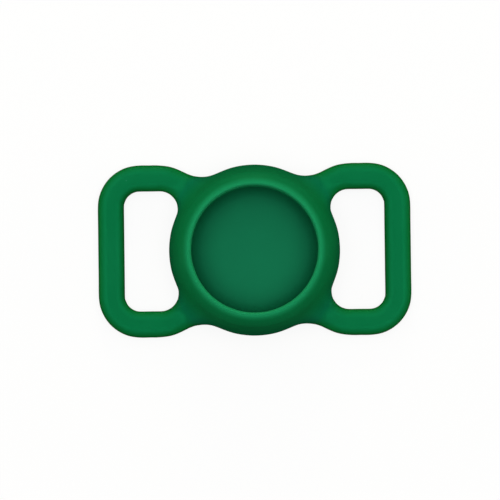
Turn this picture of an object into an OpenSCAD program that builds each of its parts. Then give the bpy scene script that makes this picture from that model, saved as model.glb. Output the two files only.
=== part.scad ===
// Soft moulded holder for a coin-shaped tracker tag, with a strap loop at each end.
// It lies on its back: X runs along the strap, Y across it, and +Z points out of the pocket's mouth.
// The origin is the middle of the flat back. All sizes are in millimetres.

/* [Tag that the pocket takes] */
// Diameter of the tag
tag_d = 31.9; // [26:0.1:36]
// Thickness of the tag
tag_t = 8; // [5:0.1:12]
// Gap round the tag's edge
tag_side_gap = 0.1; // [0.05:0.05:0.5]
// Gap over the tag, under the lip
tag_top_gap = 0.2; // [0.1:0.05:0.6]

/* [Pocket] */
// Wall round the tag, at its thickest
wall_t = 3.1; // [2.4:0.1:4.5]
// Floor behind the tag
floor_t = 1.5; // [1:0.1:2.4]
// Thickness of the lip over the tag
lip_t = 1.3; // [1:0.05:2]
// How far the lip reaches in over the tag
lip_reach = 1.9; // [1.5:0.1:3]
// Rounding of the lip's rim, where the mouth begins
rim_r = 0.6; // [0.3:0.05:0.9]
// Rounding under the lip's edge
lip_under_r = 0.25; // [0.1:0.05:0.4]
// Cove between the floor and the wall
floor_cove_r = 1.8; // [0.6:0.1:2.4]
// Cove between the wall and the lip
lip_cove_r = 1.2; // [0.5:0.1:1.6]
// Height at which the wall starts to curve in towards the mouth
crown_start = 3.4; // [3:0.1:4.5]
// How full the crown's curve is, from 1 for a straight flank to 2 for a quarter ellipse
crown_bulge = 1.7; // [1.6:0.05:2]
// Rounding of the pocket's back edge
back_edge_r = 1.2; // [0.5:0.1:2]

/* [Strap loops] */
// Width of the strap
strap_w = 25; // [15:0.5:30]
// Play of the strap in its slot
strap_play = 2.1; // [1:0.1:4]
// Length over both loops
overall_l = 70; // [66:0.5:80]
// Width of the bars and arms
bar_w = 5.7; // [4.5:0.1:7]
// Thickness of the bars, arms and shoulders
plate_t = 3; // [2.9:0.1:3.6]
// Rounding of their edges
edge_r = 1.4; // [0.6:0.05:1.45]
// Outer corner radius of a loop
corner_r = 9.3; // [8:0.1:11]
// Radius of a slot's corners beside the pocket
slot_corner_r = 4.05; // [3:0.05:5]
// Straight stretch of a loop's upper and lower edges
edge_flat = 3.7; // [2:0.1:5]
// Straight stub of the bar before its corner
bar_stub = 1.7; // [0.5:0.1:2.5]

/* [Shoulders] */
// Radius of the shoulder, where the loop turns in towards the pocket
shoulder_r = 13; // [10:0.5:16]
// Radius of the waist between the shoulder and the pocket
waist_r = 8.2; // [6:0.1:11]
// How far the fillet between a shoulder's face and the pocket's wall runs up the wall
fillet_h = 2; // [0.8:0.1:2.4]
// How far it runs out over the face
fillet_w = 2.4; // [1.6:0.1:3.6]
// Width at which the feathered edge of a shoulder, along the pocket's wall, is cut off
feather_w = 0.06; // [0.04:0.01:0.2]
// How far past the slot's inner end the flexing arm starts
arm_setback = 0.4; // [0.2:0.1:1]

/* [Hidden] */
$fn = 96;

// Steps in the curves that are drawn as short straight lines
crown_steps = 20;
small_arc_steps = 6;
edge_steps = 5;
waist_steps = 10;
shoulder_steps = 7;
// Stretches into which a shoulder's face is divided, from its slot side to its outer side
across_steps = 9;
// How far a cut runs past what it cuts
overrun = 1;

// Pocket, as radii and heights
pocket_r = tag_d / 2 + tag_side_gap;
hub_r = pocket_r + wall_t;
mouth_r = pocket_r - lip_reach;
lip_z = floor_t + tag_t + tag_top_gap;
total_h = lip_z + lip_t;
crown_r = mouth_r + rim_r;

// Strap loops
slot_h = strap_w + strap_play;
loop_h = slot_h + 2 * bar_w;
corner_x = overall_l / 2 - corner_r;
corner_y = loop_h / 2 - corner_r;
bar_x = corner_x - bar_stub;

// Centre of the slot's corner, whose arc touches the slot's end and the pocket's wall
slot_corner_y = slot_h / 2 - slot_corner_r;
slot_corner_c = [sqrt(pow(hub_r + slot_corner_r, 2) - pow(slot_corner_y, 2)), slot_corner_y];
arm_x = slot_corner_c.x - slot_corner_r + arm_setback;

// Centres of the shoulder's arc and of the waist's arc, which touches the shoulder and the pocket
shoulder_c = [corner_x - edge_flat, loop_h / 2 - shoulder_r];
waist_c = touching_centre([0, 0], hub_r + waist_r, shoulder_c, shoulder_r + waist_r);

// Directions, from their centres, in which the slot's corner and the waist leave the pocket's wall
slot_root_angle = 180 + bearing(slot_corner_c) - leave_angle(slot_corner_r);
waist_root_angle = 180 + bearing(waist_c) + leave_angle(waist_r);

green = [0.03, 0.42, 0.25];
dark_green = [0.02, 0.36, 0.22];
light_green = [0.06, 0.5, 0.31];

// The upper of the two points that lie at distance ra from a and rb from b
function touching_centre(a, ra, b, rb) =
    let (
        gap = norm(b - a),
        along = (b - a) / gap,
        near = (ra * ra - rb * rb + gap * gap) / (2 * gap),
        up = sqrt(ra * ra - near * near)
    )
    a + near * along + up * [-along.y, along.x];

// Direction of a vector, from 0 to 360 degrees
function bearing(v) = (atan2(v.y, v.x) + 360) % 360;

// Angle that an arc of radius r, which touches the pocket, turns before it is a feather's width away from it
function leave_angle(r) =
    let (d = hub_r + r)
    acos((d * d + r * r - pow(hub_r + feather_w, 2)) / (2 * d * r));

// Point inside the pocket's wall behind the one where an arc leaves the wall
function root_point(c, r, angle) = let (p = c + r * [cos(angle), sin(angle)]) pocket_r * p / norm(p);

// Points of an arc, both ends included
function arc(c, r, from, to, steps) =
    [for (i = [0:steps]) let (a = from + (to - from) * i / steps) c + r * [cos(a), sin(a)]];

// Pocket's outside, from its back edge up and over the crown
function back_edge() = arc([hub_r - back_edge_r, back_edge_r], back_edge_r, -90, 0, small_arc_steps);
function crown_point(a) = [
    crown_r + (hub_r - crown_r) * pow(cos(a), 2 / crown_bulge),
    crown_start + (total_h - crown_start) * pow(sin(a), 2 / crown_bulge)
];
function crown_angle(r) = acos(pow((r - crown_r) / (hub_r - crown_r), crown_bulge / 2));
function crown(from, to) = [for (i = [0:crown_steps]) crown_point(from + (to - from) * i / crown_steps)];

// How far the rounded edge of a plate stands back, and its height, from the back up to the face
function lower_edge() =
    [for (i = [0:edge_steps]) let (a = 90 * i / edge_steps) edge_r * [1 - sin(a), 1 - cos(a)]];
function upper_edge() =
    [for (i = [0:edge_steps]) let (a = 90 * i / edge_steps)
        [edge_r * (1 - cos(a)), plate_t - edge_r * (1 - sin(a))]];

// How much the fillet lifts a shoulder's face at a point of the plan.
// It is a parabola that goes on inside the wall, up to twice the fillet's height.
function lift(p) =
    let (share = max(0, 1 - (norm([p.x, p.y]) - hub_r) / fillet_w))
    fillet_h * min(2, share * share);
function lifted(p, z) = [p.x, p.y, z + lift(p)];

// Slot side and outer side of a shoulder and arm, set back into the material, with as many points each
function slot_side(back) = concat(
    [root_point(slot_corner_c, slot_corner_r, slot_root_angle)],
    arc(slot_corner_c, slot_corner_r + back, slot_root_angle, 90, waist_steps + shoulder_steps + 1),
    [[bar_x + overrun, slot_h / 2 + back]]
);
function outer_side(back) = concat(
    [root_point(waist_c, waist_r, waist_root_angle)],
    arc(waist_c, waist_r + back, waist_root_angle, bearing(shoulder_c - waist_c), waist_steps),
    arc(shoulder_c, shoulder_r - back, bearing(waist_c - shoulder_c), 90, shoulder_steps),
    [[bar_x + overrun, loop_h / 2 - back]]
);

// Solid of rings with as many points each, closed at both ends by a fan from the end ring's first point
module ring_loft(rings) {
    last = len(rings) - 1;
    count = len(rings[0]);
    polyhedron(
        points = [for (ring = rings) each ring],
        faces = concat(
            [for (j = [0:last - 1], i = [0:count - 1]) let (k = (i + 1) % count)
                each [[j * count + i, (j + 1) * count + i, (j + 1) * count + k],
                      [j * count + i, (j + 1) * count + k, j * count + k]]],
            [for (i = [1:count - 2]) [0, i, i + 1]],
            [for (i = [1:count - 2]) let (p = last * count) [p, p + i + 1, p + i]]
        )
    );
}

// Plate with rounded edges in the upper right quarter, from inside the pocket's wall to the strap bar
module shoulder_and_arm() {
    low = lower_edge();
    high = upper_edge();
    slot_low = [for (e = low) slot_side(e[0])];
    slot_high = [for (e = high) slot_side(e[0])];
    outer_low = [for (e = low) outer_side(e[0])];
    outer_high = [for (e = high) outer_side(e[0])];
    ring_loft([for (j = [0:len(slot_low[0]) - 1]) let (back = (slot_low[0][j] + outer_low[0][j]) / 2) concat(
        [[back.x, back.y, 0]],
        [for (k = [0:edge_steps]) [slot_low[k][j].x, slot_low[k][j].y, low[k][1]]],
        [for (k = [0:edge_steps]) lifted(slot_high[k][j], high[k][1])],
        [for (i = [1:across_steps - 1]) let (share = i / across_steps)
            lifted(slot_high[edge_steps][j] * (1 - share) + outer_high[edge_steps][j] * share, plate_t)],
        [for (k = [edge_steps:-1:0]) lifted(outer_high[k][j], high[k][1])],
        [for (k = [edge_steps:-1:0]) [outer_low[k][j].x, outer_low[k][j].y, low[k][1]]]
    )]);
}

// The pocket's outer form, filled
module pocket_envelope() {
    rotate_extrude() polygon(concat([[0, 0]], back_edge(), crown(0, 90), [[0, total_h]]));
}

// Places what is drawn in the upper right quarter in one of the four quarters
module quarter(right, upper) {
    mirror([right ? 0 : 1, 0, 0]) mirror([0, upper ? 0 : 1, 0]) children();
}

// Everything between two distances from the middle, in the upper right quarter
module between_x(from, to) {
    translate([from, 0, -overrun]) cube([to - from, loop_h, total_h + overrun]);
}

module pocket_floor() {
    color(dark_green) cylinder(r = pocket_r, h = floor_t);
}

module pocket_wall() {
    top = crown_angle(pocket_r);
    color(green) rotate_extrude() polygon(concat(
        [[pocket_r, 0]],
        back_edge(),
        crown(0, top),
        [[pocket_r, lip_z]],
        arc([pocket_r - lip_cove_r, lip_z - lip_cove_r], lip_cove_r, 90, 0, small_arc_steps),
        arc([pocket_r - floor_cove_r, floor_t + floor_cove_r], floor_cove_r, 0, -90, small_arc_steps),
        [[pocket_r, floor_t]]
    ));
}

module retaining_lip() {
    color(light_green) rotate_extrude() polygon(concat(
        [[pocket_r, lip_z]],
        crown(crown_angle(pocket_r), 90),
        arc([crown_r, total_h - rim_r], rim_r, 90, 180, small_arc_steps),
        arc([mouth_r + lip_under_r, lip_z + lip_under_r], lip_under_r, 180, 270, small_arc_steps)
    ));
}

// The stretch of the plate between two distances from the middle, outside the pocket
module plate_stretch(from, to) {
    difference() {
        intersection() {
            shoulder_and_arm();
            between_x(from, to);
        }
        pocket_envelope();
    }
}

module shoulder(right, upper) {
    color(green) quarter(right, upper) plate_stretch(0, arm_x);
}

module arm(right, upper) {
    color(dark_green) quarter(right, upper) plate_stretch(arm_x, bar_x);
}

// Cross-section of the bar, with its slot side at x = 0
module bar_section() {
    side = concat(lower_edge(), upper_edge());
    polygon(concat(side, [for (k = [len(side) - 1:-1:0]) [bar_w - side[k][0], side[k][1]]]));
}

// Bar of the right-hand loop, with a corner and a stub at each end
module strap_bar() {
    for (up = [0, 1]) mirror([0, up, 0]) {
        translate([corner_x, corner_y, 0]) rotate_extrude(angle = 90)
            translate([corner_r - bar_w, 0]) bar_section();
        translate([bar_x, loop_h / 2, 0]) rotate([90, 0, 90])
            linear_extrude(bar_stub) mirror([1, 0]) bar_section();
    }
    translate([overall_l / 2 - bar_w, corner_y, 0]) rotate([90, 0, 0])
        linear_extrude(2 * corner_y) bar_section();
}

module left_strap_bar() {
    color(green) mirror([1, 0, 0]) strap_bar();
}

module right_strap_bar() {
    color(green) strap_bar();
}

pocket_floor();
pocket_wall();
retaining_lip();
shoulder(false, true);  // upper_left_shoulder
shoulder(false, false);  // lower_left_shoulder
shoulder(true, true);  // upper_right_shoulder
shoulder(true, false);  // lower_right_shoulder
arm(false, true);  // upper_left_arm
arm(false, false);  // lower_left_arm
arm(true, true);  // upper_right_arm
arm(true, false);  // lower_right_arm
left_strap_bar();
right_strap_bar();
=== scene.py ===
"""Looks of a soft moulded holder for a coin-shaped tracker tag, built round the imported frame.

The real holder is one silicone moulding. Its smooth skin is modelled once, as one closed surface, and is then
cut where the frame's bodies meet, so that the strap loops can flex and no seam shows. The moulding's sizes
are in millimetres until a piece is finished. The finishes, the studio and the finished pieces are in metres.
"""

import logging
import math
from collections.abc import Callable
from dataclasses import dataclass, field
from enum import Enum
from functools import partial

import bmesh
import bpy
from mathutils import Matrix, Vector


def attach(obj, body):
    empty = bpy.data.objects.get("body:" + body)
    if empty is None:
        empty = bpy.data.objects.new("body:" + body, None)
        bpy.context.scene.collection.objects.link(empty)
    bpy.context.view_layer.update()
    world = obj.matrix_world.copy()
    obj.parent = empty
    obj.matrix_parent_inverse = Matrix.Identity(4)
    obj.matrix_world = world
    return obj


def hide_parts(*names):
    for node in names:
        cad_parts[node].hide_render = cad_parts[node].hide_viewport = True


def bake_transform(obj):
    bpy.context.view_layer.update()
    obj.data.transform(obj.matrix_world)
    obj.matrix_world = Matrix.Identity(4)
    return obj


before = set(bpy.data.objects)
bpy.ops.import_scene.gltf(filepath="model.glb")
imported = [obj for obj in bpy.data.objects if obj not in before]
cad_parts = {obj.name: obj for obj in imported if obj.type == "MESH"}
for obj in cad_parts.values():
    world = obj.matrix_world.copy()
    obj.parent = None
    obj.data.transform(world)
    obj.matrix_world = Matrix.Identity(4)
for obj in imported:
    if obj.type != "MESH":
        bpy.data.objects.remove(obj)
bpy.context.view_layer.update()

MM = 0.001
MERGE_DIST = 0.001
CUT_DIST = 0.004
RIGHT, UP = Vector((1, 0)), Vector((0, 1))
WHITE = (1.0, 1.0, 1.0)
WARM = (1.0, 1.0, 0.65)

Colour = tuple[float, float, float]
Span = tuple[float, float]
Section = list[tuple[float, float]]
Ring = dict[bmesh.types.BMVert, tuple[int, int]]
Socket = bpy.types.NodeSocket

log = logging.getLogger("tag_holder")


class Side(Enum):
    """The two strap loops, by the sign of their X."""

    LEFT = -1
    RIGHT = 1


class Mirror(Enum):
    """The moulding's two mirror planes, by the axis square to each and its place in a point."""

    X = 0
    Y = 1


class SkinNodes:
    """A material's node tree, with the few kinds of node that a moulded skin needs."""

    def __init__(self, tree: bpy.types.NodeTree) -> None:
        """Adds the coordinates, with the distance from the pocket's axis and the height.

        Args:
            tree: The node tree.
        """
        self.add, self.link = tree.nodes.new, tree.links.new
        self.place = self.add("ShaderNodeTexCoord").outputs["Object"]
        axes, flat = self.add("ShaderNodeSeparateXYZ"), self.add("ShaderNodeCombineXYZ")
        reach = self.add("ShaderNodeVectorMath")
        reach.operation = "LENGTH"
        self.link(self.place, axes.inputs["Vector"])
        for axis in "XY":
            self.link(axes.outputs[axis], flat.inputs[axis])
        self.link(flat.outputs["Vector"], reach.inputs[0])
        self.radius, self.height = reach.outputs["Value"], axes.outputs["Z"]

    def noise(self, scale: float, detail: float) -> Socket:
        """Adds a noise texture.

        Args:
            scale: Cells per metre.
            detail: Octaves.

        Returns:
            The socket with the noise, about 0.5 on average.
        """
        noise = self.add("ShaderNodeTexNoise")
        noise.inputs["Scale"].default_value = scale
        noise.inputs["Detail"].default_value = detail
        self.link(self.place, noise.inputs["Vector"])
        return noise.outputs["Fac"]

    def ranged(self, value: Socket, before: Span, after: Span = (0.0, 1.0)) -> Socket:
        """Maps a value from one span to another, and holds it there.

        Args:
            value: Socket with the value.
            before: The two values that become the ends of the other span.
            after: The other span.

        Returns:
            The socket with the result.
        """
        ranged = self.add("ShaderNodeMapRange")
        for name, number in zip(("From Min", "From Max", "To Min", "To Max"), (*before, *after)):
            ranged.inputs[name].default_value = number
        self.link(value, ranged.inputs["Value"])
        return ranged.outputs["Result"]

    def product(self, first: Socket, second: Socket) -> Socket:
        """Multiplies two values.

        Args:
            first: Socket with one value.
            second: Socket with the other.

        Returns:
            The socket with the product.
        """
        product = self.add("ShaderNodeMath")
        product.operation = "MULTIPLY"
        self.link(first, product.inputs[0])
        self.link(second, product.inputs[1])
        return product.outputs["Value"]

    def laid_over(self, skin: Socket, colour: Colour, share: Socket) -> Socket:
        """Mixes another colour into a skin's.

        Args:
            skin: Socket with the skin's colour.
            colour: The other colour.
            share: Socket with the other colour's share.

        Returns:
            The socket with the mixed colour.
        """
        mix = self.add("ShaderNodeMix")
        mix.data_type = "RGBA"
        below, above = (s for s in mix.inputs if s.type == "RGBA")
        above.default_value = (*colour, 1.0)
        self.link(skin, below)
        self.link(share, mix.inputs[0])
        return next(s for s in mix.outputs if s.type == "RGBA")


@dataclass(frozen=True)
class PaintedTone:
    """Another colour, which sets in over a span of the pocket's radius and over spans of height. Each one
    here is painted light or shade.
    """

    colour: Colour
    radii: Span
    heights: tuple[Span, ...]
    share: float = 1.0


@dataclass(frozen=True)
class SiliconeFinish:
    """Matt moulded silicone: a deep colour with a faint haze, a fine grain, a little lint, and tones of
    painted light and shade.
    """

    name: str
    colour: Colour
    haze: Colour
    painted_tones: tuple[PaintedTone, ...] = ()
    haze_share: float = 0.5
    haze_scale: float = 90.0
    haze_detail: float = 3.0
    haze_band: Span = (0.35, 0.65)
    lint: Colour = (0.03, 0.24, 0.13)
    lint_share: float = 0.8
    lint_scale: float = 420.0
    lint_size: float = 0.07
    lint_rarity: Span = (0.965, 0.97)
    roughness: Span = (0.36, 0.44)
    patch_scale: float = 270.0
    patch_detail: float = 2.0
    patch_band: Span = (0.3, 0.7)
    specular: float = 0.5
    specular_tint: Colour = (0.03, 1.0, 0.38)
    grain_scale: float = 5200.0
    grain_detail: float = 4.0
    grain_height: float = 0.000012

    def material(self) -> bpy.types.Material:
        """Builds the material, whose patterns follow the Object coordinates.

        Returns:
            The material.
        """
        made = bpy.data.materials.new(self.name)
        made.use_nodes = True
        nodes = SkinNodes(made.node_tree)
        shader = made.node_tree.nodes["Principled BSDF"]
        shader.inputs["Specular IOR Level"].default_value = self.specular
        shader.inputs["Specular Tint"].default_value = (*self.specular_tint, 1.0)
        nodes.link(self._coloured(nodes), shader.inputs["Base Color"])
        patches = nodes.noise(self.patch_scale, self.patch_detail)
        nodes.link(nodes.ranged(patches, self.patch_band, self.roughness), shader.inputs["Roughness"])
        bump = nodes.add("ShaderNodeBump")
        bump.inputs["Strength"].default_value = 1.0
        bump.inputs["Distance"].default_value = self.grain_height
        nodes.link(nodes.noise(self.grain_scale, self.grain_detail), bump.inputs["Height"])
        nodes.link(bump.outputs["Normal"], shader.inputs["Normal"])
        return made

    def _coloured(self, nodes: SkinNodes) -> Socket:
        """Builds the skin's colour, with its haze, its lint and its tones of painted light and shade.

        Args:
            nodes: The material's nodes.

        Returns:
            The socket with the colour.
        """
        skin = nodes.add("ShaderNodeRGB").outputs["Color"]
        skin.default_value = (*self.colour, 1.0)
        cloud = nodes.noise(self.haze_scale, self.haze_detail)
        skin = nodes.laid_over(skin, self.haze, nodes.ranged(cloud, self.haze_band, (0.0, self.haze_share)))
        skin = nodes.laid_over(skin, self.lint, self._specks(nodes))
        # Painted light and shade: each tone lays a lighter or darker colour over a span of radius and height.
        for tone in self.painted_tones:
            share = nodes.ranged(nodes.radius, tone.radii, (0.0, tone.share))
            for span in tone.heights:
                share = nodes.product(share, nodes.ranged(nodes.height, span))
            skin = nodes.laid_over(skin, tone.colour, share)
        return skin

    def _specks(self, nodes: SkinNodes) -> Socket:
        """Builds sparse specks of lint.

        Args:
            nodes: The material's nodes.

        Returns:
            The socket with the lint's share, which is 0 off a speck.
        """
        cells = nodes.add("ShaderNodeTexVoronoi")
        cells.inputs["Scale"].default_value = self.lint_scale
        nodes.link(nodes.place, cells.inputs["Vector"])
        near = nodes.ranged(cells.outputs["Distance"], (self.lint_size, self.lint_size / 2))
        draw = nodes.add("ShaderNodeSeparateColor")
        nodes.link(cells.outputs["Color"], draw.inputs["Color"])
        chosen = nodes.ranged(draw.outputs["Red"], self.lint_rarity, (0.0, self.lint_share))
        return nodes.product(near, chosen)


@dataclass(frozen=True)
class EdgePoint:
    """A point of the plan's outline, with the direction into the material."""

    at: Vector
    inward: Vector

    def set_back(self, inset: float) -> Vector:
        """The point, moved into the material by inset."""
        return self.at + inset * self.inward


@dataclass(frozen=True)
class Arc:
    """An arc of the plan's outline."""

    centre: Vector
    radius: float
    solid_outside: bool

    def edge(self, angle: float) -> EdgePoint:
        """The outline's point in that direction from the centre, in degrees."""
        ray = Vector((math.cos(math.radians(angle)), math.sin(math.radians(angle))))
        return EdgePoint(self.centre + self.radius * ray, ray if self.solid_outside else -ray)


@dataclass(frozen=True)
class EdgeLevel:
    """A level of a plate's rounded edge: how far in it lies, its height, and its share of a fillet's lift."""

    inset: float
    height: float
    lifted: float


@dataclass(frozen=True)
class Station:
    """A place along a strap loop, where a ring of the cage crosses it from the slot's side to the outer side.

    The middle of the ring dips towards the pocket by dip.
    """

    slot: EdgePoint
    outer: EdgePoint
    dip: float = 0.0


def arc_points(centre: tuple[float, float], radius: float, start: float, end: float, steps: int) -> Section:
    """Points of an arc, both ends included.

    Args:
        centre: Its centre.
        radius: Its radius.
        start: Direction of its first point, in degrees.
        end: Direction of its last point.
        steps: Steps between them.

    Returns:
        The points.
    """
    angles = [math.radians(start + (end - start) * i / steps) for i in range(steps + 1)]
    return [(centre[0] + radius * math.cos(a), centre[1] + radius * math.sin(a)) for a in angles]


def spaced(start: float, end: float, steps: int) -> list[float]:
    """Values at an even spacing from after start up to end."""
    return [start + (end - start) * i / steps for i in range(1, steps + 1)]


def bearing(v: Vector) -> float:
    """Direction of a vector of the plan, in degrees from 0 to 360."""
    return math.degrees(math.atan2(v.y, v.x)) % 360


@dataclass(frozen=True)
class Pocket:
    """The round pocket: its sizes, and its section from the middle of the back to the middle of the floor.

    A row is a height or radius at which the cage has a row of vertices on a surface that the sizes give.
    """

    hub_r: float = 19.15
    inner_r: float = 16.05
    mouth_r: float = 14.15
    height: float = 11.0
    floor_t: float = 1.5
    lip_z: float = 9.7
    crown_start: float = 3.4
    crown_bulge: float = 1.7
    rim_r: float = 0.6
    lip_under_r: float = 0.25
    lip_cove_r: float = 1.2
    floor_cove_r: float = 1.8
    back_edge_r: float = 1.2
    root_z: float = 6.5
    back_rows: tuple[float, ...] = (0.0, 5.0, 10.0)
    outer_back_row: float = 16.4
    wall_row: float = 1.4
    low_crown_row: float = 4.9
    crown_rows: tuple[float, ...] = (7.7, 8.7, 9.5, 10.1, 10.54, 10.84)
    inside_rows: tuple[float, ...] = (6.8, 5.0)
    floor_rows: tuple[float, ...] = (13.4, 10.0, 5.0, 0.0)

    @property
    def web_r(self) -> float:
        """Radius at which the floor's flat ends and the cove begins."""
        return self.inner_r - self.floor_cove_r

    def crown(self, height: float) -> tuple[float, float]:
        """The outer crown's point at a height.

        Args:
            height: The height.

        Returns:
            The point's radius and height.
        """
        rise = (height - self.crown_start) / (self.height - self.crown_start)
        top_r = self.mouth_r + self.rim_r
        reach = max(0.0, 1 - rise ** self.crown_bulge) ** (1 / self.crown_bulge)
        return top_r + (self.hub_r - top_r) * reach, height

    def back(self) -> Section:
        """The flat back, from the middle to where the back edge starts to round."""
        return [(r, 0.0) for r in (*self.back_rows, self.web_r, self.outer_back_row)]

    def root(self) -> Section:
        """The wall's outside that a loop grows from, from the back edge up to where the loop's fillet ends.

        Returns:
            The rows, one for each level of a loop's edge.
        """
        edge = arc_points((self.hub_r - self.back_edge_r, self.back_edge_r), self.back_edge_r, -90, -45, 1)
        wall = [(self.hub_r, z) for z in (self.wall_row, self.crown_start)]
        return [*edge, *wall, self.crown(self.low_crown_row), self.crown(self.root_z)]

    def rest(self) -> Section:
        """The crown, the lip and the pocket's inside, down to the middle of the floor.

        Returns:
            The rows.
        """
        top_r, under_z = self.mouth_r + self.rim_r, self.lip_z + self.lip_under_r
        rim = arc_points((top_r, self.height - self.rim_r), self.rim_r, 90, 180, 3)
        under = arc_points((self.mouth_r + self.lip_under_r, under_z), self.lip_under_r, 180, 270, 2)
        cove_r, cove_z = self.inner_r - self.lip_cove_r, self.lip_z - self.lip_cove_r
        return [
            *[self.crown(z) for z in self.crown_rows],
            *rim, (self.mouth_r, (self.height - self.rim_r + under_z) / 2), *under,
            *arc_points((cove_r, cove_z), self.lip_cove_r, 90, 0, 3),
            *[(self.inner_r, z) for z in self.inside_rows],
            *arc_points((self.web_r, self.floor_t + self.floor_cove_r), self.floor_cove_r, 0, -90, 3),
            *[(r, self.floor_t) for r in self.floor_rows],
        ]


@dataclass(frozen=True)
class StrapLoop:
    """A strap loop: its sizes, and the stations from the pocket's wall round to the middle of the bar.

    The rounding of its edge has a radius at the back and a width of its own on the face. The root steps are
    angles, in degrees, at which the cage's columns beside the loop follow its outline.
    """

    pocket: Pocket
    length: float = 70.0
    width: float = 38.5
    bar_w: float = 5.7
    plate_t: float = 3.0
    edge_r: float = 1.4
    edge_w: float = 1.5
    corner_r: float = 9.3
    slot_corner_r: float = 4.05
    edge_flat: float = 3.7
    bar_stub: float = 1.7
    shoulder_r: float = 13.0
    waist_r: float = 8.2
    fillet_h: float = 2.2
    fillet_w: float = 3.7
    fillet_power: int = 3
    most_lift: float = 2.0
    arm_setback: float = 0.4
    slot_root_steps: tuple[float, float] = (19.0, 38.0)
    waist_root_steps: tuple[float, float, float] = (12.1, 24.2, 36.3)
    dips: tuple[float, ...] = (0.75, 0.7, 0.5, 0.3, 0.12, 0.0)
    waist_steps: int = 3
    corner_steps: int = 6
    bar_steps: int = 3

    @property
    def half_slot(self) -> float:
        """Half the slot's length across the strap."""
        return self.width / 2 - self.bar_w

    @property
    def corner(self) -> Vector:
        """Centre of a loop's outer corner."""
        return Vector((self.length / 2 - self.corner_r, self.width / 2 - self.corner_r))

    @property
    def slot_arc(self) -> Arc:
        """The slot's corner beside the pocket.

        Returns:
            The arc, which touches the pocket's wall.
        """
        y = self.half_slot - self.slot_corner_r
        x = math.sqrt((self.pocket.hub_r + self.slot_corner_r) ** 2 - y * y)
        return Arc(Vector((x, y)), self.slot_corner_r, True)

    @property
    def shoulder_arc(self) -> Arc:
        """The convex shoulder of the outline."""
        centre = Vector((self.corner.x - self.edge_flat, self.width / 2 - self.shoulder_r))
        return Arc(centre, self.shoulder_r, False)

    @property
    def waist_arc(self) -> Arc:
        """The concave waist between the shoulder and the pocket's wall.

        Returns:
            The arc, which touches both.
        """
        far = self.shoulder_arc.centre
        near_r, far_r = self.pocket.hub_r + self.waist_r, self.shoulder_r + self.waist_r
        along = (near_r ** 2 - far_r ** 2 + far.length ** 2) / (2 * far.length)
        up = math.sqrt(near_r ** 2 - along ** 2)
        ray = far.normalized()
        return Arc(along * ray + up * Vector((-ray.y, ray.x)), self.waist_r, True)

    @property
    def levels(self) -> list[EdgeLevel]:
        """The rounded edge of the plate.

        Returns:
            Its levels, from the back up to the face.
        """
        turn = self.edge_r * (1 - math.sin(math.radians(45)))
        return [
            EdgeLevel(self.edge_r, 0.0, 0.0), EdgeLevel(turn, turn, 0.0), EdgeLevel(0.0, self.edge_r, 0.0),
            EdgeLevel(0.0, self.plate_t - self.edge_r, 1.0),
            EdgeLevel(turn * self.edge_w / self.edge_r, self.plate_t - turn, 1.0),
            EdgeLevel(self.edge_w, self.plate_t, 1.0),
        ]

    @property
    def slot_root(self) -> float:
        """Direction, from its centre, in which the slot's corner leaves the pocket's wall."""
        return 180 + bearing(self.slot_arc.centre)

    @property
    def waist_root(self) -> float:
        """Direction, from its centre, in which the waist leaves the pocket's wall."""
        return 180 + bearing(self.waist_arc.centre)

    @property
    def cut_x(self) -> float:
        """Distance from the middle at which the flexing loop starts."""
        return self.slot_arc.centre.x - self.slot_corner_r + self.arm_setback

    @property
    def bar_x(self) -> float:
        """Distance from the middle at which the flexing arm ends and the bar starts."""
        return self.corner.x - self.bar_stub

    def root_edges(self) -> dict[int, EdgePoint]:
        """Outline points of the columns beside a loop, whose lower rows leave the pocket's wall.

        Returns:
            Steps from the slot's root, counted up, and from the waist's root, counted down below zero.
        """
        slot = {i: self.slot_arc.edge(self.slot_root - a) for i, a in enumerate(self.slot_root_steps, 1)}
        waist = {-i: self.waist_arc.edge(self.waist_root + a) for i, a in enumerate(self.waist_root_steps, 1)}
        return slot | waist

    def lift(self, p: Vector) -> float:
        """How much the fillet along the pocket's wall lifts the face at a point of the plan."""
        share = max(0.0, 1 - (p.length - self.pocket.hub_r) / self.fillet_w)
        return self.fillet_h * min(self.most_lift, share ** self.fillet_power)

    def stations(self) -> list[Station]:
        """The stations from the first one off the pocket's wall to the middle of the bar."""
        return [*self._arm_stations(), *self._bar_stations()]

    def _arm_stations(self) -> list[Station]:
        """The stations between the slot's corner on one side and the waist and the shoulder on the other.

        Returns:
            The stations.
        """
        slot, waist, shoulder, steps = self.slot_arc, self.waist_arc, self.shoulder_arc, len(self.dips)
        meet = bearing(shoulder.centre - waist.centre)
        slot_angles = spaced(self.slot_root - self.slot_root_steps[-1], 90, steps)
        waist_angles = spaced(self.waist_root + self.waist_root_steps[-1], meet, self.waist_steps)
        outers = [waist.edge(a) for a in waist_angles]
        outers += [shoulder.edge(a) for a in spaced(meet - 180, 90, steps - self.waist_steps)]
        return [Station(slot.edge(a), outer, dip) for a, outer, dip in zip(slot_angles, outers, self.dips)]

    def _bar_stations(self) -> list[Station]:
        """The stations along the straight edges, round the outer corner and to the middle of the bar.

        Returns:
            The stations.
        """
        middle = tuple((arc.centre.x + self.bar_x) / 2 for arc in (self.slot_arc, self.shoulder_arc))
        slot_y, outer_y = self.half_slot, self.width / 2
        made = [Station(EdgePoint(Vector((near, slot_y)), UP), EdgePoint(Vector((far, outer_y)), -UP))
                for near, far in (middle, (self.bar_x, self.bar_x), (self.corner.x, self.corner.x))]
        inside = Arc(self.corner, self.corner_r - self.bar_w, True)
        outside = Arc(self.corner, self.corner_r, False)
        made += [Station(inside.edge(a), outside.edge(a)) for a in spaced(90, 0, self.corner_steps)]
        slot_x, outer_x = self.length / 2 - self.bar_w, self.length / 2
        made += [Station(EdgePoint(Vector((slot_x, y)), RIGHT), EdgePoint(Vector((outer_x, y)), -RIGHT))
                 for y in spaced(self.corner.y, 0, self.bar_steps)]
        return made


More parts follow.
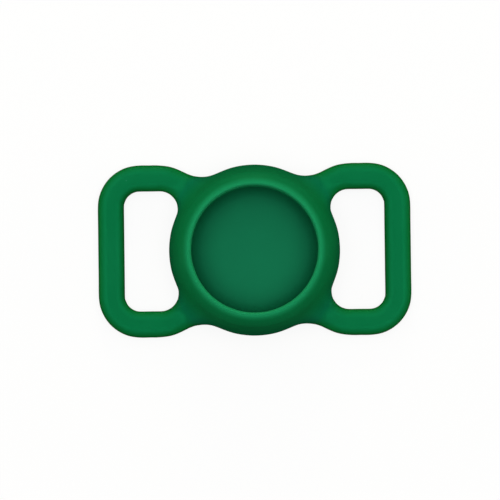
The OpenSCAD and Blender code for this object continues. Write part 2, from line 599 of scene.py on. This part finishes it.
@dataclass(frozen=True)
class ColumnSteps:
    """Steps between the columns of the pocket's quarter, stretch by stretch from the X axis to the Y axis."""

    wall: int = 3
    slot: int = 2
    arm: int = 4
    waist: int = 3
    side: int = 3

    @property
    def total(self) -> int:
        """Steps in the whole quarter."""
        return self.wall + self.slot + self.arm + self.waist + self.side


@dataclass
class Moulding:
    """The whole moulding, as a cage that is smoothed, given its parting line and cut where it flexes.

    The cage's quarter is spun from the pocket's section, and half a strap loop is grown from its wall. The
    zones, shares, slopes and margins only pick out vertices and faces.
    """

    pocket: Pocket
    loop: StrapLoop
    steps: ColumnSteps = ColumnSteps()
    smooth_levels: int = 2
    fit_rounds: int = 4
    fit_start_share: float = 0.8
    fit_margin: float = 0.1
    root_zone: Span = (17.4, 26.0)
    root_y: float = 7.5
    root_z_share: float = 0.8
    root_slope: float = 0.15
    root_pull: float = 0.5
    root_rounds: int = 30
    ridge_z: float = 1.5
    ridge_half_w: float = 0.07
    ridge_h: float = 0.05
    ridge_margin: float = 0.005
    wall_margin: float = 1.0
    floor_margin: float = 0.1
    grid: dict[tuple[int, int], bmesh.types.BMVert] = field(default_factory=dict)

    def skin(self) -> bmesh.types.BMesh:
        """Makes the whole moulding's surface, in millimetres.

        Returns:
            The surface, still in one, with edges all along the places where its parts meet.
        """
        cage = self._quarter()
        for mirror in Mirror:
            self._mirror(cage, mirror)
        bmesh.ops.recalc_face_normals(cage, faces=cage.faces)
        self._fit(cage)
        smooth = self._smoothed(cage)
        cage.free()
        self._soften_roots(smooth)
        self._raise_parting_line(smooth)
        self._cut_arms(smooth)
        return smooth

    def _columns(self) -> list[float]:
        """Directions of the pocket's columns in the quarter, with the arm's between the two roots.

        Returns:
            The directions, in degrees from 0 to 90.
        """
        steps, edges = self.steps, self.loop.root_edges()
        slot, waist = bearing(self.loop.slot_arc.centre), bearing(self.loop.waist_arc.centre)
        low, high = bearing(edges[steps.slot].at), bearing(edges[-steps.waist].at)
        return [
            0.0, *spaced(0, slot, steps.wall),
            *[bearing(edges[i].at) for i in range(1, steps.slot)], low, *spaced(low, high, steps.arm),
            *[bearing(edges[-i].at) for i in range(steps.waist - 1, 0, -1)], waist,
            *spaced(waist, 90, steps.side),
        ]

    def _quarter(self) -> bmesh.types.BMesh:
        """Spins the pocket's quarter, opens its wall and grows half a strap loop from it.

        Returns:
            The quarter of the cage, on the side of positive X and Y.
        """
        cage = bmesh.new()
        rows = [*self.pocket.back(), *self.pocket.root(), *self.pocket.rest()]
        points = [cage.verts.new((r, 0.0, z)) for r, z in rows]
        chain = [cage.edges.new(pair) for pair in zip(points, points[1:])]
        bmesh.ops.spin(cage, geom=points + chain, cent=(0, 0, 0), axis=(0, 0, 1), angle=math.radians(90),
                       steps=self.steps.total, use_merge=False, use_duplicate=False)
        bmesh.ops.remove_doubles(cage, verts=cage.verts, dist=MERGE_DIST)
        self._index(cage, rows)
        self._shape_columns()
        ring = self._open_wall(cage)
        for station in self.loop.stations():
            ring = self._next_ring(cage, ring, station)
        return cage

    def _index(self, cage: bmesh.types.BMesh, rows: Section) -> None:
        """Notes each vertex of the spun pocket under its column and row.

        Args:
            cage: The spun pocket.
            rows: The section's points.
        """
        for v in cage.verts:
            r = math.hypot(v.co.x, v.co.y)
            row = min(range(len(rows)), key=lambda i: math.dist(rows[i], (r, v.co.z)))
            turn = math.atan2(v.co.y, v.co.x) / math.radians(90) if r > MERGE_DIST else 0.0
            self.grid[round(turn * self.steps.total), row] = v

    @property
    def _first_row(self) -> int:
        """Row at which a loop's back meets the pocket."""
        return len(self.pocket.back())

    @property
    def _first_column(self) -> int:
        """Column at which the arm's slot side meets the pocket."""
        return self.steps.wall + self.steps.slot

    def _shape_columns(self) -> None:
        """Turns the columns to their directions, and moves the lower rows beside the arm to the outline."""
        angles = [math.radians(a) for a in self._columns()]
        for (column, _), v in self.grid.items():
            r = math.hypot(v.co.x, v.co.y)
            v.co.x, v.co.y = r * math.cos(angles[column]), r * math.sin(angles[column])
        first, last = self.steps.wall, self.steps.total - self.steps.side
        wall = [(self.pocket.hub_r - r, z) for r, z in self.pocket.root()]
        for i, edge in self.loop.root_edges().items():
            column = first + i if i > 0 else last + i
            gap = min(1.0, edge.at.length - self.pocket.hub_r)
            for row, level in enumerate(self.loop.levels[:-1]):
                p = edge.set_back((1 - gap) * wall[row][0] + gap * level.inset)
                plate_z = level.height + level.lifted * self.loop.lift(p)
                self.grid[column, self._first_row + row].co = (*p, (1 - gap) * wall[row][1] + gap * plate_z)

    def _open_wall(self, cage: bmesh.types.BMesh) -> Ring:
        """Takes out the stretch of wall behind the arm.

        Args:
            cage: The spun pocket.

        Returns:
            The opening's vertices, with their place across the arm and their level.
        """
        across, top = self.steps.arm, len(self.loop.levels) - 1
        inside = {self.grid[self._first_column + step, self._first_row + level]: (step, level)
                  for step in range(across + 1) for level in range(top + 1)}
        behind = [f for f in cage.faces if all(v in inside for v in f.verts)]
        bmesh.ops.delete(cage, geom=behind, context="FACES")
        return {v: k for v, k in inside.items() if k[0] in (0, across) or k[1] in (0, top)}

    def _next_ring(self, cage: bmesh.types.BMesh, ring: Ring, station: Station) -> Ring:
        """Extrudes the open end of the arm to a station.

        Args:
            cage: The cage.
            ring: The open end's vertices.
            station: Where the new ring goes.

        Returns:
            The new open end's vertices.
        """
        edges = [e for e in cage.edges if e.is_boundary and all(v in ring for v in e.verts)]
        made = bmesh.ops.extrude_edge_only(cage, edges=edges)["geom"]
        new = {v: ring[next(o for e in v.link_edges if (o := e.other_vert(v)) in ring)]
               for v in made if isinstance(v, bmesh.types.BMVert)}
        for v, (step, level) in new.items():
            v.co = self._ring_point(station, step, level)
        return new

    def _ring_point(self, station: Station, step: int, level: int) -> Vector:
        """Place of a ring's vertex.

        Args:
            station: The ring's station.
            step: The vertex's step across the arm, from the slot's side.
            level: The vertex's level, from the back.

        Returns:
            The place.
        """
        edge = self.loop.levels[level]
        share = step / self.steps.arm
        p = station.slot.set_back(edge.inset).lerp(station.outer.set_back(edge.inset), share)
        p -= station.dip * 4 * share * (1 - share) * p.normalized()
        return Vector((*p, edge.height + edge.lifted * self.loop.lift(p)))

    @staticmethod
    def _mirror(cage: bmesh.types.BMesh, mirror: Mirror) -> None:
        """Adds the half on the other side of a mirror plane.

        Args:
            cage: The half that is there.
            mirror: The plane.
        """
        for v in cage.verts:
            if abs(v.co[mirror.value]) < MERGE_DIST:
                v.co[mirror.value] = 0.0
        geom = cage.verts[:] + cage.edges[:] + cage.faces[:]
        bmesh.ops.mirror(cage, geom=geom, matrix=Matrix.Identity(4), merge_dist=MERGE_DIST, axis=mirror.name)
        bmesh.ops.remove_doubles(cage, verts=cage.verts, dist=MERGE_DIST)

    def _fit(self, cage: bmesh.types.BMesh) -> None:
        """Moves the cage outwards until the smooth surface passes through the places where its vertices were.

        The flat middle stays, and so do the heights of the arms, whose faces are flat.

        Args:
            cage: The whole cage.
        """
        start = self.fit_start_share * self.pocket.web_r
        wanted = {v: v.co.copy() for v in cage.verts if math.hypot(v.co.x, v.co.y) > start}
        for _ in range(self.fit_rounds):
            moves = {v: place - self._limit(v) for v, place in wanted.items()}
            for v, move in moves.items():
                if v.co.xy.length > self.pocket.hub_r + self.fit_margin:
                    move.z = 0.0
                v.co += move
                v.co.z = max(v.co.z, 0.0)

    @staticmethod
    def _limit(v: bmesh.types.BMVert) -> Vector:
        """Where the smooth surface passes a vertex of the cage.

        Args:
            v: The vertex, all of whose faces have four sides.

        Returns:
            The place.
        """
        n = len(v.link_edges)
        total = n * n * v.co
        for e in v.link_edges:
            total = total + 4 * e.other_vert(v).co
        near = {e.other_vert(v) for e in v.link_edges} | {v}
        for f in v.link_faces:
            total = total + next(o.co for o in f.verts if o not in near)
        return total / (n * (n + 5))

    def _smoothed(self, cage: bmesh.types.BMesh) -> bmesh.types.BMesh:
        """Subdivides the cage.

        Args:
            cage: The cage, which stays as it is.

        Returns:
            The smooth surface.
        """
        mesh = bpy.data.meshes.new("cage")
        cage.to_mesh(mesh)
        holder = bpy.data.objects.new("cage", mesh)
        bpy.context.scene.collection.objects.link(holder)
        modifier = holder.modifiers.new("smooth", "SUBSURF")
        modifier.levels = modifier.render_levels = self.smooth_levels
        bpy.context.view_layer.update()
        evaluated = holder.evaluated_get(bpy.context.evaluated_depsgraph_get())
        smooth = bmesh.new()
        smooth.from_mesh(evaluated.to_mesh())
        evaluated.to_mesh_clear()
        bpy.data.objects.remove(holder)
        bpy.data.meshes.remove(mesh)
        return smooth

    def _soften_roots(self, skin: bmesh.types.BMesh) -> None:
        """Evens out the fillets where the arms run up the pocket's wall.

        Args:
            skin: The smooth surface.
        """
        near, far = self.root_zone
        low = self.root_z_share * self.loop.plate_t
        skin.normal_update()
        roots = [v for v in skin.verts if near < v.co.xy.length < far and abs(v.co.y) > self.root_y
                 and v.co.z > low and v.normal.z > self.root_slope]
        for _ in range(self.root_rounds):
            bmesh.ops.smooth_vert(skin, verts=roots, factor=self.root_pull,
                                  use_axis_x=True, use_axis_y=True, use_axis_z=True)

    def _raise_parting_line(self, skin: bmesh.types.BMesh) -> None:
        """Raises the fine ridge that the mould's parting leaves along the outline and round the slots.

        Args:
            skin: The smooth surface.
        """
        reach = self.pocket.inner_r + self.wall_margin
        for z in (self.ridge_z - self.ridge_half_w, self.ridge_z, self.ridge_z + self.ridge_half_w):
            outside = [f for f in skin.faces if math.hypot(*f.calc_center_median().xy) > reach]
            self._bisect(skin, outside, Vector((0, 0, z)), Vector((0, 0, 1)))
        skin.normal_update()
        crest = [v for v in skin.verts
                 if abs(v.co.z - self.ridge_z) < self.ridge_margin and v.co.xy.length > reach]
        for v in crest:
            v.co += self.ridge_h * Vector((v.normal.x, v.normal.y, 0)).normalized()

    def _cut_arms(self, skin: bmesh.types.BMesh) -> None:
        """Cuts across the arms where the flexing loops start.

        Args:
            skin: The smooth surface.
        """
        for side in Side:
            arms = [f for f in skin.faces if self._is_arm(f.calc_center_median(), side)]
            self._bisect(skin, arms, Vector((side.value * self.loop.cut_x, 0, 0)), Vector((1, 0, 0)))

    @staticmethod
    def _bisect(skin: bmesh.types.BMesh, faces: list[bmesh.types.BMFace], point: Vector,
                normal: Vector) -> None:
        """Cuts faces along a plane, and keeps both sides.

        Args:
            skin: The surface.
            faces: Those of its faces that are cut.
            point: A point of the plane.
            normal: The direction square to the plane.
        """
        edges = dict.fromkeys(e for f in faces for e in f.edges)
        verts = dict.fromkeys(v for f in faces for v in f.verts)
        bmesh.ops.bisect_plane(skin, geom=[*verts, *edges, *faces], dist=CUT_DIST,
                               plane_co=point, plane_no=normal)

    def _is_arm(self, p: Vector, side: Side) -> bool:
        """Whether a point near the cut is on an arm of that side."""
        low = self.loop.half_slot - self.loop.slot_corner_r
        return abs(p.y) > low and p.x * side.value > self.pocket.mouth_r

    def in_loop(self, p: Vector, side: Side) -> bool:
        """Whether a point of the surface belongs to the flexing loop of that side."""
        reach, bar_start = p.x * side.value, self.pocket.hub_r + self.wall_margin
        return reach > self.loop.cut_x and (self._is_arm(p, side) or reach > bar_start)

    def in_web(self, p: Vector) -> bool:
        """Whether a point of the surface belongs to the flat floor of the pocket."""
        return p.xy.length < self.pocket.web_r and p.z < self.pocket.floor_t + self.floor_margin

    def in_pocket(self, p: Vector) -> bool:
        """Whether a point of the surface belongs to the pocket's wall, lip and shoulders."""
        return not (self.in_web(p) or any(self.in_loop(p, side) for side in Side))

    def part(self, skin: bmesh.types.BMesh, belongs: Callable[[Vector], bool]) -> bmesh.types.BMesh:
        """Takes some of the faces and closes them.

        The straight cuts across the arms are filled, and the round ones in the floor are bridged.

        Args:
            skin: The whole surface, which stays as it is.
            belongs: Function of a face's middle, true where the face is taken.

        Returns:
            The closed part.
        """
        part = skin.copy()
        others = [f for f in part.faces if not belongs(f.calc_center_median())]
        bmesh.ops.delete(part, geom=others, context="FACES")
        for f in part.faces:
            f.smooth = True
        rim = [e for e in part.edges if e.is_boundary]
        straight = [e for e in rim if e.verts[0].co.xy.length > self.pocket.inner_r]
        circles = [e for e in rim if e.verts[0].co.xy.length < self.pocket.inner_r]
        ends = []
        if straight:
            ends += bmesh.ops.holes_fill(part, edges=straight, sides=0)["faces"]
        if circles:
            ends += bmesh.ops.bridge_loops(part, edges=circles)["faces"]
        for sharp in (*ends, *rim):
            sharp.smooth = False
        bmesh.ops.recalc_face_normals(part, faces=part.faces)
        return part


@dataclass(frozen=True)
class Piece:
    """A piece of the holder: its name, its material slot, the CAD nodes that it replaces, and its finish."""

    name: str
    slot: str
    replaces: tuple[str, ...]
    finish: SiliconeFinish

    def build(self, shape: bmesh.types.BMesh) -> bpy.types.Object:
        """Makes the piece's object.

        Args:
            shape: The piece's closed surface, in millimetres, which is used up.

        Returns:
            The object, in metres, with its finish.
        """
        bmesh.ops.scale(shape, vec=(MM, MM, MM), verts=shape.verts)
        mesh = bpy.data.meshes.new(self.name)
        shape.to_mesh(mesh)
        shape.free()
        mesh.materials.append(self.finish.material())
        made = bpy.data.objects.new(self.name, mesh)
        bpy.context.scene.collection.objects.link(made)
        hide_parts(*self.replaces)
        return made


@dataclass(frozen=True)
class Holder:
    """The dressed holder: the pocket with its shoulders, its floor, and a strap loop at each end."""

    moulding: Moulding
    pocket_finish: SiliconeFinish
    floor_finish: SiliconeFinish
    loop_finish: SiliconeFinish

    def build(self) -> list[bpy.types.Object]:
        """Builds every piece, and ties the pocket and the floor to the hub's body.

        Returns:
            The pieces.
        """
        moulding = self.moulding
        skin = moulding.skin()
        shoulders = (f"{y}_{side.name.lower()}_shoulder" for y in ("upper", "lower") for side in Side)
        pocket = Piece("moulded_pocket", "pocket_silicone", ("pocket_wall", "retaining_lip", *shoulders),
                       self.pocket_finish)
        web = Piece("moulded_floor", "floor_silicone", ("pocket_floor",), self.floor_finish)
        made = [
            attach(pocket.build(moulding.part(skin, moulding.in_pocket)), "hub"),
            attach(web.build(moulding.part(skin, moulding.in_web)), "hub"),
        ]
        made += [self._strap_loop(skin, side) for side in Side]
        skin.free()
        return made

    def _strap_loop(self, skin: bmesh.types.BMesh, side: Side) -> bpy.types.Object:
        """Builds a strap loop, whose arms turn smoothly from the pocket to the bar.

        Args:
            skin: The whole moulding's surface.
            side: Which loop.

        Returns:
            The loop's object.
        """
        moulding, name = self.moulding, side.name.lower()
        loop = Piece(f"{name}_strap_loop", "loop_silicone",
                     (f"upper_{name}_arm", f"lower_{name}_arm", f"{name}_strap_bar"), self.loop_finish)
        shape = loop.build(moulding.part(skin, partial(moulding.in_loop, side=side)))
        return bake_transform(shape)


@dataclass(frozen=True)
class Lamp:
    """A square soft light that faces the holder, at an angle from straight above it."""

    off_axis: float
    turn: float
    power: float
    glossy: bool = True
    colour: Colour = WHITE
    size: float = 0.3
    distance: float = 0.9

    def hang(self) -> None:
        """Adds the light to the scene."""
        data = bpy.data.lights.new("lamp", "AREA")
        data.shape, data.size, data.energy, data.color = "SQUARE", self.size, self.power, self.colour
        light = bpy.data.objects.new(f"lamp_{self.off_axis:.0f}_{self.turn:.0f}", data)
        off, turn = math.radians(self.off_axis), math.radians(self.turn)
        up = Vector((math.sin(off) * math.cos(turn), math.sin(off) * math.sin(turn), math.cos(off)))
        light.location = self.distance * up
        light.rotation_euler = up.to_track_quat("Z", "Y").to_euler()
        light.visible_glossy = self.glossy
        bpy.context.scene.collection.objects.link(light)


@dataclass(frozen=True)
class Studio:
    """A pale floor, a white surround, soft lights from above and a camera where the photograph's was.

    Each pair of the low lamps is a direction, in degrees, and a power.
    """

    view_width: float = 0.1121
    distance: float = 1.0
    elevation: float = 88.2
    roll: float = -0.7
    aim: tuple[float, float, float] = (-0.00103, 0.0, 0.003)
    sensor: float = 36.0
    clip: Span = (0.01, 10.0)
    surround: float = 0.29
    floor_side: float = 1.2
    floor_colour: Colour = (0.95, 0.95, 0.95)
    shadow_share: float = 0.12
    shadow_fade: Span = (0.05, 0.16)
    ring_angle: float = 27.0
    ring_powers: tuple[float, ...] = (0.70, 0.52, 0.38, 0.52, 0.70, 0.60, 0.48, 0.60)
    far_angle: float = 50.0
    far_turns: tuple[float, ...] = (50.0, 90.0, 130.0)
    far_power: float = 0.38
    low_angle: float = 78.0
    low_lamps: tuple[Span, ...] = ((180.0, 1.4), (0.0, 1.6), (90.0, 3.0))
    under_power: float = 4.0

    def build(self, pieces: list[bpy.types.Object]) -> None:
        """Builds the floor, the world, the lights and the camera.

        Args:
            pieces: The pieces that stand on the floor.
        """
        self._floor(pieces)
        self._world()
        for lamp in self._lamps():
            lamp.hang()
        self._camera()
        bpy.context.scene.view_settings.view_transform = "Standard"

    def _lamps(self) -> list[Lamp]:
        """The lamps: a glossy ring above, more from the far side, low warm ones without gloss, and one below.

        Returns:
            The lamps.
        """
        step = 360 / len(self.ring_powers)
        ring = [Lamp(self.ring_angle, i * step, power) for i, power in enumerate(self.ring_powers)]
        far = [Lamp(self.far_angle, turn, self.far_power) for turn in self.far_turns]
        low = [Lamp(self.low_angle, turn, power, False, WARM) for turn, power in self.low_lamps]
        return [*ring, *far, *low, Lamp(180, 0, self.under_power, False)]

    def _floor(self, pieces: list[bpy.types.Object]) -> None:
        """A plain pale floor right under the holder, which keeps its shadow.

        Only the camera sees it, and only from above, so that the back can be looked at too.

        Args:
            pieces: The pieces that stand on it.
        """
        shape = bmesh.new()
        bmesh.ops.create_grid(shape, x_segments=1, y_segments=1, size=self.floor_side / 2)
        mesh = bpy.data.meshes.new("floor")
        shape.to_mesh(mesh)
        shape.free()
        floor = bpy.data.objects.new("floor", mesh)
        bpy.context.scene.collection.objects.link(floor)
        floor.visible_diffuse = floor.visible_glossy = False
        floor.visible_transmission = floor.visible_shadow = False
        mesh.materials.append(self._floor_material())
        floor.modifiers.new("level", "NODES").node_group = self._floor_level(pieces)

    @staticmethod
    def _floor_level(pieces: list[bpy.types.Object]) -> bpy.types.NodeTree:
        """Geometry nodes that lower the floor to the pieces' lowest point, where a loop bends below zero.

        Args:
            pieces: The pieces that stand on the floor.

        Returns:
            The node group.
        """
        tree = bpy.data.node_groups.new("floor_level", "GeometryNodeTree")
        for way in ("INPUT", "OUTPUT"):
            tree.interface.new_socket("Geometry", in_out=way, socket_type="NodeSocketGeometry")
        add, link = tree.nodes.new, tree.links.new
        start, end, both = add("NodeGroupInput"), add("NodeGroupOutput"), add("GeometryNodeJoinGeometry")
        for piece in pieces:
            info = add("GeometryNodeObjectInfo")
            info.transform_space = "RELATIVE"
            info.inputs["Object"].default_value = piece
            link(info.outputs["Geometry"], both.inputs["Geometry"])
        box, move = add("GeometryNodeBoundBox"), add("GeometryNodeTransform")
        low, least, drop = (add(f"ShaderNode{kind}") for kind in ("SeparateXYZ", "Math", "CombineXYZ"))
        least.operation = "MINIMUM"
        least.inputs[1].default_value = 0.0
        link(both.outputs["Geometry"], box.inputs["Geometry"])
        link(box.outputs["Min"], low.inputs["Vector"])
        link(low.outputs["Z"], least.inputs[0])
        link(least.outputs["Value"], drop.inputs["Z"])
        link(start.outputs["Geometry"], move.inputs["Geometry"])
        link(drop.outputs["Vector"], move.inputs["Translation"])
        link(move.outputs["Geometry"], end.inputs["Geometry"])
        return tree

    def _floor_material(self) -> bpy.types.Material:
        """White with a soft shadow that fades out, seen from above, and nothing from below.

        Returns:
            The material.
        """
        made = bpy.data.materials.new("pale_floor")
        made.use_nodes = True
        tree = made.node_tree
        tree.nodes.clear()
        add, link = tree.nodes.new, tree.links.new
        kinds = ("BsdfDiffuse", "Emission", "BsdfTransparent")
        matt, white, clear = (add(f"ShaderNode{kind}") for kind in kinds)
        matt.inputs["Color"].default_value = (*self.floor_colour, 1.0)
        reach, fade = add("ShaderNodeVectorMath"), add("ShaderNodeMapRange")
        reach.operation = "LENGTH"
        link(add("ShaderNodeTexCoord").outputs["Object"], reach.inputs[0])
        fade.interpolation_type = "SMOOTHSTEP"
        fade.inputs["From Min"].default_value, fade.inputs["From Max"].default_value = self.shadow_fade
        fade.inputs["To Min"].default_value, fade.inputs["To Max"].default_value = self.shadow_share, 0.0
        link(reach.outputs["Value"], fade.inputs["Value"])
        pale, sided = add("ShaderNodeMixShader"), add("ShaderNodeMixShader")
        link(fade.outputs["Result"], pale.inputs["Fac"])
        link(white.outputs["Emission"], pale.inputs[1])
        link(matt.outputs["BSDF"], pale.inputs[2])
        link(add("ShaderNodeNewGeometry").outputs["Backfacing"], sided.inputs["Fac"])
        link(pale.outputs["Shader"], sided.inputs[1])
        link(clear.outputs["BSDF"], sided.inputs[2])
        link(sided.outputs["Shader"], add("ShaderNodeOutputMaterial").inputs["Surface"])
        return made

    def _world(self) -> None:
        """White to the camera and through clear parts, and an even faint light on the holder's every side."""
        world = bpy.data.worlds.new("surround")
        world.use_nodes = True
        tree = world.node_tree
        background = tree.nodes["Background"]
        background.inputs["Color"].default_value = (*WHITE, 1.0)
        path = tree.nodes.new("ShaderNodeLightPath")
        seen, strength = (tree.nodes.new("ShaderNodeMath") for _ in range(2))
        seen.operation, strength.operation = "MAXIMUM", "MULTIPLY_ADD"
        strength.inputs[1].default_value = self.surround
        tree.links.new(path.outputs["Is Camera Ray"], seen.inputs[0])
        tree.links.new(path.outputs["Is Transmission Ray"], seen.inputs[1])
        tree.links.new(path.outputs["Is Diffuse Ray"], strength.inputs[0])
        tree.links.new(seen.outputs["Value"], strength.inputs[2])
        tree.links.new(strength.outputs["Value"], background.inputs["Strength"])
        bpy.context.scene.world = world

    def _camera(self) -> None:
        """Adds the camera."""
        data = bpy.data.cameras.new("camera")
        data.sensor_width = self.sensor
        data.lens = self.sensor * self.distance / self.view_width
        data.clip_start, data.clip_end = self.clip
        camera = bpy.data.objects.new("camera", data)
        tilt, roll = math.radians(90 - self.elevation), math.radians(self.roll)
        camera.rotation_euler = (Matrix.Rotation(tilt, 3, "X") @ Matrix.Rotation(roll, 3, "Z")).to_euler()
        camera.location = Vector(self.aim) + self.distance * Vector((0, -math.sin(tilt), math.cos(tilt)))
        bpy.context.scene.collection.objects.link(camera)
        bpy.context.scene.camera = camera


def dressed_holder() -> Holder:
    """The holder with its sizes and finishes.

    Returns:
        The holder, not yet built.
    """
    green, haze = (0.0016, 0.1365, 0.038), (0.0030, 0.150, 0.047)
    # Painted highlight: a lighter green on the crown's top beside the mouth's rim.
    painted_rim_highlight = PaintedTone((0.009, 0.225, 0.084), (0.0161, 0.0147), ((0.0098, 0.0102),))
    # Painted sheen: a lighter, bluer green over the face of the pocket's floor.
    painted_floor_sheen = PaintedTone((0.0078, 0.168, 0.075), (0.0165, 0.0160), ((0.0005, 0.0010),))
    # Painted shade: a darker green on the floor towards its rim, under the lip.
    painted_corner_shade = PaintedTone((0.0018, 0.088, 0.033), (0.0118, 0.0142), ((0.0005, 0.0010),))
    # Painted light: a bluer green on the fillets where the loops rise onto the pocket's wall, a cool cast of
    # light.
    painted_fillet_cool_light = PaintedTone((0.0016, 0.1365, 0.062), (0.0182, 0.0205), ((0.0028, 0.0038),), 0.7)
    # Painted light: a yellower, more saturated green on the sides of the plates' rounded edges, between face
    # and back.
    face_edge, back_edge = (0.0029, 0.0022), (0.0006, 0.0014)
    painted_edge_light = PaintedTone((0.0016, 0.1365, 0.012), (0.0190, 0.0203), (face_edge, back_edge), 0.7)
    pocket = Pocket()
    return Holder(
        Moulding(pocket, StrapLoop(pocket)),
        pocket_finish=SiliconeFinish("pocket_silicone", green, haze, (painted_rim_highlight, painted_fillet_cool_light, painted_edge_light)),
        floor_finish=SiliconeFinish("floor_silicone", green, haze, (painted_floor_sheen, painted_corner_shade)),
        loop_finish=SiliconeFinish("loop_silicone", green, haze, (painted_fillet_cool_light, painted_edge_light)),
    )


def main() -> None:
    """Builds the holder and the studio."""
    logging.basicConfig(level=logging.INFO, format="%(name)s: %(message)s")
    pieces = dressed_holder().build()
    for piece in pieces:
        log.info("%s: %d faces", piece.name, len(piece.data.polygons))
    Studio().build(pieces)


if __name__ == "__main__":
    main()
